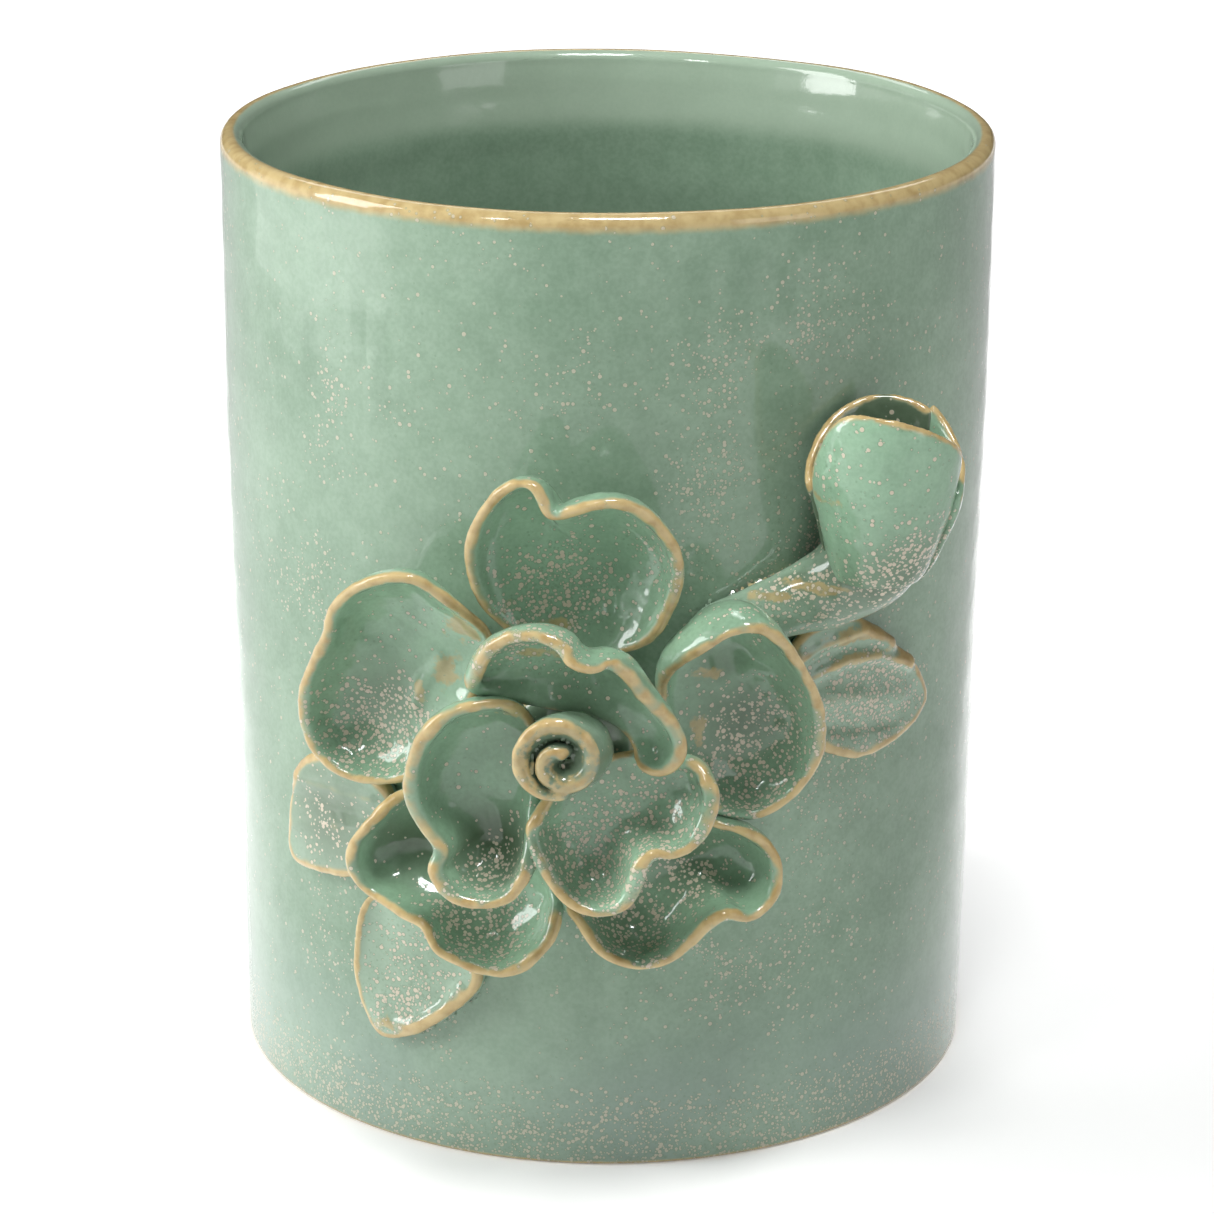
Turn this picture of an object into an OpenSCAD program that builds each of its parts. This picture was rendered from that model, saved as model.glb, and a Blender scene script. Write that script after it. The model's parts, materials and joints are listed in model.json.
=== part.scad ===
// Brush holder pot: a thrown stoneware cylinder with a hand-built flower, a bud and
// three leaves luted onto its front, all under one celadon glaze.
// Millimetres. Z is the pot's axis, Z = 0 is the foot, and the flower faces -Y.

/* [Pot] */
// Outer diameter of the pot from its middle up to the rim
pot_d = 85; // [80:1:95]
// Height of the pot
pot_h = 105.8; // [95:0.1:120]
// Diameter just above the foot
foot_d = 83; // [80:1:84]
// Thickness of the thrown wall
wall_t = 3.6; // [3:0.1:6]
// Thickness of the floor, above the foot recess
floor_t = 5; // [4:0.5:8]
// Depth of the recess turned under the foot
recess_h = 1.2; // [0.8:0.1:2]

/* [Clay sheet] */
// Thickness of the clay in the outer petals
petal_t = 1.3; // [1.1:0.1:2]
// Thickness of the clay in the inner petals
inner_petal_t = 1.4; // [1.1:0.1:2]
// Thickness of the leaves at their edge
leaf_t = 1.8; // [1.4:0.1:2.4]
// Thickness of the strip rolled into the flower's centre
strip_t = 1.7; // [1.2:0.1:1.8]

/* [Flower centre] */
// Size of the roll, as a share of its usual size
coil_scale = 0.94; // [0.8:0.02:1]
// How far the roll stands off the pot's wall
coil_reach = 19.5; // [18:0.5:21]

/* [Bud] */
// Largest radius of the bud
bud_r = 7.8; // [6.5:0.1:8]
// Height of the bud from its base to its tips
bud_h = 21.5; // [19:0.5:23]
// Thickness of the clay in the bud's petals
bud_t = 1.2; // [1:0.1:1.6]

/* [Hidden] */

pot_r = pot_d / 2;
foot_r = foot_d / 2;
bore_r = pot_r - wall_t;
// Height at which the slight taper from the foot ends
taper_z = 75;
rim_round = wall_t / 2;
base_round = 0.6;
foot_ring_w = 4.5;
floor_z = recess_h + floor_t;
floor_fillet = 6;
pot_fn = 180;

glaze = [0.56, 0.70, 0.61];
glaze_light = [0.66, 0.78, 0.69];
glaze_deep = [0.43, 0.58, 0.49];
glaze_edge = [0.78, 0.66, 0.42];

// ---------------------------------------------------------------------------
// Places on the wall. A place is [around, up, out]: around is measured along the
// wall from the front, + to the right; up is Z; out is the distance off the wall.
// ---------------------------------------------------------------------------
function wall_r(z) = lookup(z, [[0, foot_r], [taper_z, pot_r]]);
function around_angle(around) = around / pot_r * 180 / PI;
function on_wall(p) =
    let (a = around_angle(p[0]), r = wall_r(p[1]) + max(p[2], 0))
    [r * sin(a), -r * cos(a), p[1]];

// A closed smooth curve through the points p, at s = 0 .. len(p).
function wrapped(p, i) = p[(i + len(p)) % len(p)];
function curve_at(p, s) =
    let (i = floor(s), f = s - i,
         a = wrapped(p, i - 1), b = wrapped(p, i),
         c = wrapped(p, i + 1), d = wrapped(p, i + 2))
    0.5 * (2 * b + (c - a) * f + (2 * a - 5 * b + 4 * c - d) * f * f
           + (3 * b - 3 * c + d - a) * f * f * f);

// Twice the signed area inside the points p, seen from the front.
function turning(p, i = 0) =
    i == len(p) ? 0
    : let (a = p[i], b = wrapped(p, i + 1)) a[0] * b[1] - a[1] * b[0] + turning(p, i + 1);
function clockwise(p) = turning(p) > 0 ? [for (i = [len(p) - 1:-1:0]) p[i]] : p;
function unit(v) = v / max(norm(v), 0.000001);
function ring_faces(n, k) = [
    for (i = [0:n - 1])
        let (j = (i + 1) % n)
        each [[k + i, k + n + j, k + j], [k + i, k + n + i, k + n + j]]
];

// ---------------------------------------------------------------------------
// A pinched clay cup: a petal or a leaf. Its middle surface runs from the floor
// line to the rim as an arc. Each rim point is [around, up, out, curl], where curl
// is the arc's angle: 90 stands up straight, and more curls in over the cup.
// floor_line is the cup's lowest line, from one place to another.
// A seated cup is solid down to the wall.
// ---------------------------------------------------------------------------
rings = 7;
lip_angles = [45, 90, 135];

function nearest_share(r, a, b) =
    let (d = [b[0] - a[0], b[1] - a[1]], l2 = d * d)
    l2 == 0 ? 0 : max(0, min(1, ([r[0] - a[0], r[1] - a[1]] * d) / l2));
function cup_point(rim, line, s, t) =
    let (r = curve_at(rim, s),
         b = line[0] + (line[1] - line[0]) * nearest_share(r, line[0], line[1]),
         side = sin(r[3] * t) / sin(r[3]),
         rise = (1 - cos(r[3] * t)) / (1 - cos(r[3])))
    [b[0] + (r[0] - b[0]) * side, b[1] + (r[1] - b[1]) * side, b[2] + (r[2] - b[2]) * rise];
function cup_along(rim, line, s, t) =
    unit(cup_point(rim, line, s, t + 0.01) - cup_point(rim, line, s, t - 0.01));
function cup_normal(rim, line, s, t) =
    unit(cross(cup_point(rim, line, s + 0.05, t) - cup_point(rim, line, s - 0.05, t),
               cup_along(rim, line, s, t)));
function seat(p, seated) = seated ? [p[0], p[1], 0] : p;

module cup(rim_points, floor_line, thickness, seated = false) {
    rim = clockwise(rim_points);
    line = floor_line;
    n = 2 * len(rim);
    h = thickness / 2;
    middle = (line[0] + line[1]) / 2;
    inside = [
        for (k = [1:rings]) for (i = [0:n - 1])
            let (s = i / 2, t = k / rings)
            cup_point(rim, line, s, t) + h * cup_normal(rim, line, s, t)
    ];
    lip = [
        for (a = lip_angles) for (i = [0:n - 1])
            let (s = i / 2, out = h * cup_along(rim, line, s, 1),
                 up = h * cup_normal(rim, line, s, 1))
            cup_point(rim, line, s, 1) + sin(a) * out + cos(a) * up * (seated && a > 90 ? 0 : 1)
    ];
    outside = [
        for (k = [rings:-1:1]) for (i = [0:n - 1])
            let (s = i / 2, t = k / rings)
            seat(cup_point(rim, line, s, t) - h * cup_normal(rim, line, s, t), seated)
    ];
    skin = concat([middle + [0, 0, h]], inside, lip, outside, [seat(middle - [0, 0, h], seated)]);
    bands = 2 * rings + len(lip_angles);
    last = len(skin) - 1;
    faces = concat(
        [for (i = [0:n - 1]) [0, 1 + i, 1 + (i + 1) % n]],
        [for (k = [0:bands - 2]) each ring_faces(n, 1 + k * n)],
        [for (i = [0:n - 1]) [last, last - n + (i + 1) % n, last - n + i]]
    );
    polyhedron([for (p = skin) on_wall(p)], faces);
}

// ---------------------------------------------------------------------------
// The pot
// ---------------------------------------------------------------------------
function arc(cx, cy, r, from, to, steps) = [
    for (i = [0:steps])
        let (a = from + (to - from) * i / steps)
        [cx + r * cos(a), cy + r * sin(a)]
];

module pot_body() {
    color(glaze)
    rotate_extrude($fn = pot_fn)
    polygon(concat(
        [[0, recess_h], [foot_r - foot_ring_w - 0.8, recess_h], [foot_r - foot_ring_w, 0]],
        arc(foot_r - base_round, base_round, base_round, -90, 0, 4),
        [[pot_r, taper_z]],
        arc(pot_r - rim_round, pot_h - rim_round, rim_round, 0, 180, 12),
        arc(bore_r - floor_fillet, floor_z + floor_fillet, floor_fillet, 0, -90, 8),
        [[0, floor_z]]
    ));
}

// ---------------------------------------------------------------------------
// The flower
// ---------------------------------------------------------------------------
flower_around = -2.5;
flower_up = 53.5;

boss_r = 5;
boss_reach = 9;
boss_sheet = 2;
boss_rim = [
    for (a = [0:30:330])
        [flower_around + boss_r * cos(a), flower_up - 1.5 + boss_r * sin(a), boss_reach - 1.4, 85]
];
boss_top = [flower_around, flower_up - 1.5, boss_reach - boss_sheet / 2];

top_rim = [
    [-9, 64, 4.5, 80], [-10.5, 67, 6, 85], [-11, 71.5, 8, 90], [-10, 76, 9, 92],
    [-8, 79.5, 10, 94], [-6, 81, 10.5, 93], [-4.6, 80.4, 11, 94], [-4, 78.4, 10.5, 95],
    [-3, 77.8, 10.5, 95], [-1.5, 78.6, 11, 96], [1, 79.5, 11.5, 96], [3.5, 78.5, 11, 94],
    [6, 75, 10, 92], [7, 71, 9, 92], [6, 66.5, 8, 90], [4.5, 63, 6.5, 85],
    [0.5, 60.5, 3.5, 80], [-4.5, 60.5, 3, 80]
];
top_floor = [[-3, 66.5, 2.2], [-1, 68.5, 2.2]];

upper_left_rim = [
    [-10, 62.5, 5, 80], [-12, 65.5, 7, 85], [-14, 68, 8.5, 90], [-16, 69.5, 9.5, 95],
    [-18.5, 69, 10, 95], [-21, 67.5, 10, 95], [-23.5, 64.5, 9.5, 95], [-24.5, 61, 9, 95],
    [-26.5, 57.5, 8.5, 95], [-28, 54, 8, 90], [-28.5, 50.5, 7.5, 90], [-27.5, 47, 7, 90],
    [-24.5, 45, 6.5, 85], [-21, 45, 6, 85], [-18, 46, 5.5, 80], [-15, 49, 4.5, 80],
    [-13, 53.5, 4, 80], [-11, 58, 4, 80]
];
upper_left_floor = [[-22.5, 51.5, 2], [-20.5, 56, 2.2]];

right_rim = [
    [6, 58.5, 6, 105], [7, 61.5, 9, 115], [8.5, 63.5, 11, 118], [10.5, 65.5, 12, 118],
    [13, 66, 12.5, 115], [15, 64, 12, 108], [16.5, 61.5, 11.5, 100], [18, 58.5, 11, 95],
    [19, 55.5, 10.5, 92], [19.5, 52.5, 10, 92], [19.5, 49, 9, 90], [18.5, 46, 8, 90],
    [16, 43.5, 7, 88], [13.5, 43, 6.5, 85], [11, 44, 6, 85], [9, 46.5, 4.5, 80],
    [7.5, 50.5, 4, 80], [6.5, 54.5, 4, 85]
];
right_floor = [[14, 49.5, 2], [12.5, 56, 2.4]];

lower_left_rim = [
    [-16, 44.5, 5, 85], [-18.5, 44, 7, 92], [-20, 42, 8.5, 95], [-22, 39, 9, 95],
    [-22.5, 36, 9, 92], [-21.5, 33.5, 8.5, 90], [-19.5, 32.5, 8.5, 90], [-17, 31.5, 9, 90],
    [-15, 31, 9.5, 95], [-14, 29, 10, 95], [-12.5, 28, 10, 92], [-10, 27, 10, 90],
    [-7.5, 27, 10, 90], [-5.5, 28.5, 9.5, 92], [-4, 30.5, 8.5, 95], [-3.5, 33, 7, 95],
    [-4, 35, 5, 90], [-6.5, 38.5, 4, 80], [-10.5, 42.5, 3.5, 80]
];
lower_left_floor = [[-16, 37.5, 2.2], [-9, 32.5, 2.2]];

lower_right_rim = [
    [-3.5, 35, 5, 85], [-2.5, 33.5, 6.5, 92], [-1, 32, 8, 92], [0.5, 29.5, 9, 92],
    [3.5, 28, 9.5, 92], [6.5, 29, 10, 92], [8.5, 31.5, 10.5, 106], [10, 33.5, 11, 110],
    [11.5, 34, 11, 108], [13, 33, 10.5, 100], [15, 34, 10, 92], [16, 36, 9.5, 92],
    [16, 38.5, 9, 95], [15, 40.5, 8.5, 100], [13, 42, 8, 100], [11, 42.5, 7, 95],
    [9, 43, 5, 85], [5, 42.5, 4, 80], [1, 41, 3.5, 80], [-2.5, 37.5, 4, 80]
];
lower_right_floor = [[4, 34, 2], [10.5, 38, 2.2]];

inner_left_rim = [
    [-6.5, 58, 13, 85], [-8, 58.5, 14, 90], [-10, 58, 15, 92], [-11.5, 57, 15.5, 95],
    [-13, 54.5, 15.5, 95], [-14, 51.5, 15, 95], [-14.5, 48.5, 14.5, 95], [-14, 45.5, 14, 95],
    [-12.5, 43, 14, 95], [-12, 41.5, 14, 98], [-12.5, 40, 14.5, 95], [-12, 38.5, 14.5, 92],
    [-11, 37, 14.5, 90], [-9, 36.5, 14.5, 90], [-7, 37, 14, 92], [-5.5, 39.5, 14, 95],
    [-5, 42.5, 13.2, 92], [-5, 46, 11.2, 85], [-4.8, 49.5, 10, 80], [-4.8, 53, 10, 80],
    [-5.6, 56.2, 11.4, 82]
];
inner_left_floor = [[-10.5, 51, 9], [-9, 42.5, 7.5]];

inner_lower_right_rim = [
    [-4.5, 46, 13, 90], [-5, 44.5, 13.2, 92], [-4.5, 42.5, 13.5, 92], [-3.5, 40, 14, 92],
    [-2, 37.5, 14.5, 92], [0, 36.5, 15, 92], [2, 37, 15, 95], [3, 39, 15, 95],
    [3.5, 41.5, 15, 97], [4.5, 43, 15, 98], [6, 43, 15.5, 95], [7.5, 44, 15.5, 95],
    [8.5, 46.5, 15.5, 95], [9, 49, 15, 98], [8.5, 50.5, 14.5, 105], [8, 51.5, 13, 105],
    [6, 52, 11.4, 85], [3.4, 52, 10.2, 80], [0, 51, 10, 80], [-3, 48.8, 10.4, 80]
];
inner_lower_right_floor = [[-0.5, 42, 9], [3.8, 47, 9.3]];

inner_top_rim = [
    [-8.5, 59.2, 12.5, 85], [-9.5, 59.8, 13, 106], [-9, 61.5, 14, 110], [-8.5, 63.5, 15, 108],
    [-7, 66, 16, 100], [-5, 67, 16.5, 95], [-3.5, 67, 17, 100], [-2, 66, 17.5, 108],
    [-1.5, 64.8, 18, 112], [0, 64, 18, 112], [1, 64.5, 17, 112], [2.5, 63, 16.5, 112],
    [3.5, 61, 16, 108], [5, 58.5, 15.5, 98], [6, 56.5, 15, 95], [6.5, 54.5, 15, 95],
    [6, 52.5, 14.5, 92], [5, 51.5, 14, 88], [3.8, 51.8, 13, 80], [3.2, 53.8, 11.2, 75],
    [1.5, 56.2, 10, 75], [-2.5, 57.2, 10, 75], [-6.5, 58, 11, 80]
];
inner_top_floor = [[-1, 60.8, 10], [4.3, 55, 11]];

module flower_boss() {
    color(glaze_deep) cup(boss_rim, [boss_top, boss_top], boss_sheet, seated = true);
}
module outer_petal_top() { color(glaze) cup(top_rim, top_floor, petal_t); }
module outer_petal_upper_left() { color(glaze) cup(upper_left_rim, upper_left_floor, petal_t); }
module outer_petal_right() { color(glaze) cup(right_rim, right_floor, petal_t); }
module outer_petal_lower_left() { color(glaze) cup(lower_left_rim, lower_left_floor, petal_t); }
module outer_petal_lower_right() { color(glaze) cup(lower_right_rim, lower_right_floor, petal_t); }
module inner_petal_top() { color(glaze_light) cup(inner_top_rim, inner_top_floor, inner_petal_t); }
module inner_petal_left() { color(glaze_light) cup(inner_left_rim, inner_left_floor, inner_petal_t); }
module inner_petal_lower_right() {
    color(glaze_light) cup(inner_lower_right_rim, inner_lower_right_floor, inner_petal_t);
}

// The rolled strip: a spiral wall with a rounded edge. roll gives the radius of its
// middle line against the angle turned from its outer end, where the strip is pressed
// thin. Below groove_h the strip is wider on its inner side, so that the turns close up
// against each other.
roll = [
    [0, 3.75], [40, 4.05], [105, 4.35], [195, 4.35], [285, 3.55], [375, 2.45], [465, 1.6],
    [555, 1.2], [600, 1.1]
];
end_share = 0.4;
end_turn = 100;
roll_start = -75;
roll_turned = 600;
coil_steps = 50;
// How far the roll's axis drifts around and up for each millimetre nearer to the wall.
coil_lean = [0.15, -0.22];
coil_base = 11;
groove_h = 2;
turn_gap = 0.06;
core_r = 0.2;
strip_edge = [
    [-0.5, -0.75], [-0.38, -0.3], [-0.15, -0.05], [0.15, -0.05], [0.38, -0.3], [0.5, -0.75]
];

function roll_r(turned) = lookup(turned, roll);
// How far the strip's inner side is from the middle line, below the groove.
function web(turned) =
    turned + 360 <= roll_turned
    ? roll_r(turned) - roll_r(turned + 360) - strip_t / 2 - turn_gap
    : max(strip_t / 2, roll_r(turned) - core_r);
function strip_at(turned) = strip_t * min(1, end_share + (1 - end_share) * turned / end_turn);
function strip_section(turned) = concat(
    [[-web(turned), coil_base - coil_reach], [-web(turned), -groove_h]],
    [for (e = strip_edge) [e[0] * strip_at(turned), e[1]]],
    [[strip_at(turned) / 2, coil_base - coil_reach]]
);
function coil_point(turned, q) =
    let (a = roll_start - turned,
         r = coil_scale * (roll_r(turned) + q[0]),
         out = coil_reach + q[1],
         narrowed = pot_r / (pot_r + out))
    [flower_around - coil_lean[0] * q[1] + r * cos(a) * narrowed,
     flower_up + 1 - coil_lean[1] * q[1] + r * sin(a), out];

module flower_centre_coil() {
    m = len(strip_section(0));
    points = [
        for (k = [0:coil_steps])
            let (turned = roll_turned * k / coil_steps)
            for (q = strip_section(turned)) on_wall(coil_point(turned, q))
    ];
    side_faces = [for (k = [0:coil_steps - 1]) each ring_faces(m, k * m)];
    last = coil_steps * m;
    end_faces = [
        for (i = [1:m - 2]) [0, i + 1, i],
        for (i = [1:m - 2]) [last, last + i, last + i + 1]
    ];
    color(glaze_edge) polyhedron(points, concat([for (f = side_faces) [f[0], f[2], f[1]]], end_faces));
}

// ---------------------------------------------------------------------------
// The leaves
// ---------------------------------------------------------------------------
leaf_right_rim = [
    [20, 57.5, 1, 80], [22, 60, 1.2, 80], [24.5, 61.3, 1.3, 80], [27, 61.2, 1.3, 80],
    [29, 60, 1.2, 80], [31, 58.5, 1.1, 80], [33.5, 56.5, 1.1, 80], [36, 54.2, 1.1, 80],
    [38.5, 51.5, 1.1, 80], [39.7, 48.8, 1, 80], [37.5, 47.2, 1, 80], [35, 46, 1, 80],
    [32.5, 45.4, 1.1, 80], [29.5, 45.3, 1.1, 80], [27, 46, 1.2, 80], [24, 47.5, 1.2, 80],
    [21, 50, 1, 80], [20, 54, 1, 80]
];
leaf_right_floor = [[25, 54, 0.9], [34, 51, 0.7]];

leaf_left_rim = [
    [-29, 44, 1.1, 80], [-31.5, 43.5, 1.1, 80], [-34, 42.5, 1.1, 80], [-36, 40.5, 1, 80],
    [-37, 38, 1, 80], [-37.4, 35, 1, 80], [-38, 32, 1, 80], [-37, 30, 1, 80],
    [-33, 30.3, 1, 80], [-28.5, 31, 1.1, 80], [-24.2, 33, 1, 80], [-23.4, 37, 1, 80],
    [-22.5, 41, 1.1, 80], [-25, 43, 1.2, 80]
];
leaf_left_floor = [[-33, 36, 0.7], [-27, 37.5, 0.8]];

leaf_lower_left_rim = [
    [-24.5, 30, 2.4, 90], [-26, 27, 2.4, 90], [-26.6, 24, 2.2, 88], [-27, 21, 1.8, 85],
    [-27, 17.5, 1.3, 80], [-26, 15, 1, 80], [-24.5, 13.2, 1, 80], [-22.5, 13.2, 1.2, 80],
    [-20, 14.5, 1.5, 80], [-17.5, 16.2, 1.7, 80], [-15.5, 18, 1.7, 80], [-13.5, 20, 1.6, 80],
    [-12.5, 22.5, 1.5, 80], [-13.5, 24.8, 1.2, 80], [-17, 27, 1, 80], [-21, 29.5, 1.5, 80]
];
leaf_lower_left_floor = [[-22, 23, 0.8], [-18, 20, 0.8]];

module leaf_right() { color(glaze) cup(leaf_right_rim, leaf_right_floor, leaf_t, seated = true); }
module leaf_left() { color(glaze) cup(leaf_left_rim, leaf_left_floor, leaf_t, seated = true); }
module leaf_lower_left() {
    color(glaze) cup(leaf_lower_left_rim, leaf_lower_left_floor, leaf_t, seated = true);
}

// ---------------------------------------------------------------------------
// The bud and its stem
// ---------------------------------------------------------------------------
bud_base = [27.6, -41.5, 65.8];
bud_lean_right = 6;
bud_lean_out = 2;
bud_foot = 0.1;

// A place in the bud: angle is 0 at the front and 90 to the right.
function bud_place(angle, r, h) =
    bud_base + [r * sin(angle), -r * cos(angle), 0] + h * [tan(bud_lean_right), -tan(bud_lean_out), 1];
// The bud's outline, as a share of bud_r, against its height from 0 at the base to 1.
bud_outline = [
    [0, 0.58], [0.1, 0.7], [0.2, 0.81], [0.3, 0.89], [0.4, 0.95], [0.5, 0.98], [0.65, 1],
    [0.8, 1], [1.01, 0.97]
];
// The left side is pressed in below the bud's middle, by bud_pinch times this share.
bud_pinch = 1.7;
pinch_share = [[0, 0.7], [0.12, 1], [0.38, 1], [0.5, 0.6], [0.6, 0]];
function bud_radius(angle, v) =
    bud_r * lookup(v, bud_outline) - bud_pinch * lookup(v, pinch_share) * max(0, -sin(angle));

bud_across = 14;
bud_up = 8;

// One petal of the bud, from one angle to another. tops gives the height of its edge
// at even steps across it, and shift moves it out from the bud's outline.
module bud_petal(from, to, tops, shift) {
    m = bud_across + 1;
    n = bud_up + 1;
    steps = [for (k = [0:len(tops) - 1]) [k, tops[k]]];
    function top_at(i) = lookup(i / bud_across * (len(tops) - 1), steps);
    function grid_point(i, j, layer) =
        let (v = bud_foot + (top_at(i) - bud_foot) * j / bud_up,
             angle = from + (to - from) * i / bud_across,
             sheet = bud_t * min(1, 0.4 + 0.3 * j))
        bud_place(angle, bud_radius(angle, v) + shift * min(1, v / 0.4) - layer * sheet, bud_h * v);
    function id(layer, i, j) = (layer * m + i) * n + j;
    function quad(a, b, c, d) = [[a, b, c], [a, c, d]];
    points = [
        for (layer = [0, 1]) for (i = [0:bud_across]) for (j = [0:bud_up]) grid_point(i, j, layer)
    ];
    skins = [
        for (i = [0:bud_across - 1]) for (j = [0:bud_up - 1])
            each concat(quad(id(0, i, j), id(0, i, j + 1), id(0, i + 1, j + 1), id(0, i + 1, j)),
                        quad(id(1, i, j), id(1, i + 1, j), id(1, i + 1, j + 1), id(1, i, j + 1)))
    ];
    ends = [
        for (i = [0:bud_across - 1])
            each concat(quad(id(0, i, 0), id(0, i + 1, 0), id(1, i + 1, 0), id(1, i, 0)),
                        quad(id(0, i, bud_up), id(1, i, bud_up), id(1, i + 1, bud_up), id(0, i + 1, bud_up)))
    ];
    sides = [
        for (j = [0:bud_up - 1])
            each concat(quad(id(0, 0, j), id(1, 0, j), id(1, 0, j + 1), id(0, 0, j + 1)),
                        quad(id(0, m - 1, j), id(0, m - 1, j + 1), id(1, m - 1, j + 1), id(1, m - 1, j)))
    ];
    faces = concat(skins, ends, sides);
    polyhedron(points, to > from ? faces : [for (f = faces) [f[0], f[2], f[1]]]);
}

front_tops = [0.5, 0.86, 1, 1.01, 1, 0.96, 0.9, 0.83, 0.72];
back_tops = [0.58, 0.66, 0.76, 0.86, 0.91, 0.92, 0.9, 0.86];
right_tops = [0.55, 0.64, 0.71, 0.8, 0.9];

module bud_petal_front() { color(glaze_light) bud_petal(-84, 82, front_tops, 0.3); }
module bud_petal_back() { color(glaze) bud_petal(-82, -220, back_tops, 0.5); }
module bud_petal_right() { color(glaze) bud_petal(70, 146, right_tops, 0.9); }

// The stem: a roll that leaves the flower, lies on the wall and swells into the cup
// that holds the bud. Each station is [around, up, out, half width, half height].
stem_stations = [
    [9.5, 61.5, 1.4, 2.3, 1.7], [13.8, 62.9, 1.9, 2.9, 2.1], [18, 64, 2.5, 3.4, 2.7],
    [21.4, 65.2, 3.6, 4, 3.6], [24.2, 67, 5.4, 4.8, 4.7], [25.7, 69.2, 6.8, 5.2, 5.4],
    [26.2, 71.4, 7.7, 5.2, 5.6], [26.4, 73, 8, 4.4, 4.8], [26.5, 74.2, 8.1, 2, 2]
];
stem_sides = 16;

// A swept solid: each section is square to the path, flattened against the wall.
module bud_stem() {
    count = len(stem_stations);
    places = [for (st = stem_stations) on_wall([st[0], st[1], st[2]])];
    rings = [
        for (k = [0:count - 1])
            let (st = stem_stations[k],
                 along = unit(places[min(k + 1, count - 1)] - places[max(k - 1, 0)]),
                 off_wall = unit([places[k][0], places[k][1], 0]),
                 side = unit(cross(along, off_wall)),
                 lift = cross(side, along))
            for (i = [0:stem_sides - 1])
                let (a = 360 * i / stem_sides)
                places[k] + st[3] * cos(a) * side + st[4] * sin(a) * lift
    ];
    points = [
        for (p = rings)
            let (r = norm([p[0], p[1]]), keep = max(r, wall_r(p[2])) / r)
            [p[0] * keep, p[1] * keep, p[2]]
    ];
    last = (count - 1) * stem_sides;
    ends = [
        for (i = [1:stem_sides - 2]) [0, i + 1, i],
        for (i = [1:stem_sides - 2]) [last, last + i, last + i + 1]
    ];
    sides = [for (k = [0:count - 2]) each ring_faces(stem_sides, k * stem_sides)];
    color(glaze) polyhedron(points, concat([for (f = sides) [f[0], f[2], f[1]]], ends));
}

pot_body();
flower_boss();
outer_petal_top();
outer_petal_upper_left();
outer_petal_right();
outer_petal_lower_left();
outer_petal_lower_right();
inner_petal_top();
inner_petal_left();
inner_petal_lower_right();
flower_centre_coil();
leaf_right();
leaf_left();
leaf_lower_left();
bud_stem();
bud_petal_front();
bud_petal_back();
bud_petal_right();
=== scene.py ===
"""The looks of the brush holder pot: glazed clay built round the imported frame.

Every clay piece is remeshed finely from its CAD solid, softened, and given the marks of
hand work. A relief map over all the pieces together then says where the glaze runs thin
(amber, on edges) and where it pools (deep green, in joints). Lengths are in millimetres
until a mesh is written, and in metres in the studio. Places on the wall are (around, up),
as in the CAD.
"""

import json
import math

import bmesh
import bpy
import numpy as np
from mathutils import Matrix, Vector, noise
from mathutils.kdtree import KDTree


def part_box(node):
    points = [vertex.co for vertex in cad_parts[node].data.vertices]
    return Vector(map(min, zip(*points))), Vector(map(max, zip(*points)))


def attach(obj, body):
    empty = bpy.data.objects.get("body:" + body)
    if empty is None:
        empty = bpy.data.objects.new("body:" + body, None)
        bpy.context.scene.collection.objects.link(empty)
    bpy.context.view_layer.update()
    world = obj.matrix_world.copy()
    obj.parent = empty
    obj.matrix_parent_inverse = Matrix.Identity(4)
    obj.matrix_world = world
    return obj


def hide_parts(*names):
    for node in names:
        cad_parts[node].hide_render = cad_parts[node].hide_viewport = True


MM = 0.001

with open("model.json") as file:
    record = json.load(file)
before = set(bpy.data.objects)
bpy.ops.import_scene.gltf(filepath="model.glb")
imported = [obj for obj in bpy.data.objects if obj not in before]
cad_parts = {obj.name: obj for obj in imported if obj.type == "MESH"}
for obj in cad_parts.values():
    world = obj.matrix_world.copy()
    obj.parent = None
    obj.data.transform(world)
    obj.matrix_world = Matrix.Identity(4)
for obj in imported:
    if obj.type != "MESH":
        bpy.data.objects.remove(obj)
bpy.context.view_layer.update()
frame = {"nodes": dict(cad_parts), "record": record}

# The pot's outside and bore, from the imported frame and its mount.
POT_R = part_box("pot_body")[1][0] / MM
POT_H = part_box("pot_body")[1][2] / MM
MOUNTS = {mount["name"]: mount for mount in frame["record"]["mounts"]}
BORE_R = MOUNTS["well"]["dims"]["r_mm"]
# Below TAPER_Z the wall narrows to the foot.
FOOT_R = POT_R - 1
TAPER_Z = 75
# The ring that the pot stands on, the recess inside it, and the rounded lower edge.
FOOT_RING = 4.5
RECESS_H = 1.2
RECESS_SLOPE = 0.8
BASE_ROUND = 0.6
# The floor of the well.
FLOOR_Z = 6.2
FLOOR_FILLET = 6
# The lip, where the bore flares.
LIP_T = 2.5
LIP_H = 10
FLARE_POWER = 1.8

PETALS = [
    "outer_petal_top",
    "outer_petal_upper_left",
    "outer_petal_right",
    "outer_petal_lower_left",
    "outer_petal_lower_right",
    "inner_petal_top",
    "inner_petal_left",
    "inner_petal_lower_right",
]
LEAVES = ["leaf_right", "leaf_left", "leaf_lower_left"]
BUD = ["bud_stem", "bud_petal_front", "bud_petal_back", "bud_petal_right"]
CLAY = ["flower_boss", *PETALS, "flower_centre_coil", *LEAVES, *BUD]
VOXEL = 0.25
WELD_GAP = 0.001
JOIN_ANGLE = math.radians(60)
SOFTEN_ROUNDS = 5

# ---------------------------------------------------------------------------
# Mesh data as arrays
# ---------------------------------------------------------------------------


def read_points(mesh):
    """The vertex places, in millimetres."""
    flat = np.empty(len(mesh.vertices) * 3)
    mesh.vertices.foreach_get("co", flat)
    return flat.reshape(-1, 3) / MM


def write_points(mesh, points):
    mesh.vertices.foreach_set("co", (points * MM).ravel())
    mesh.update()


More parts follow.
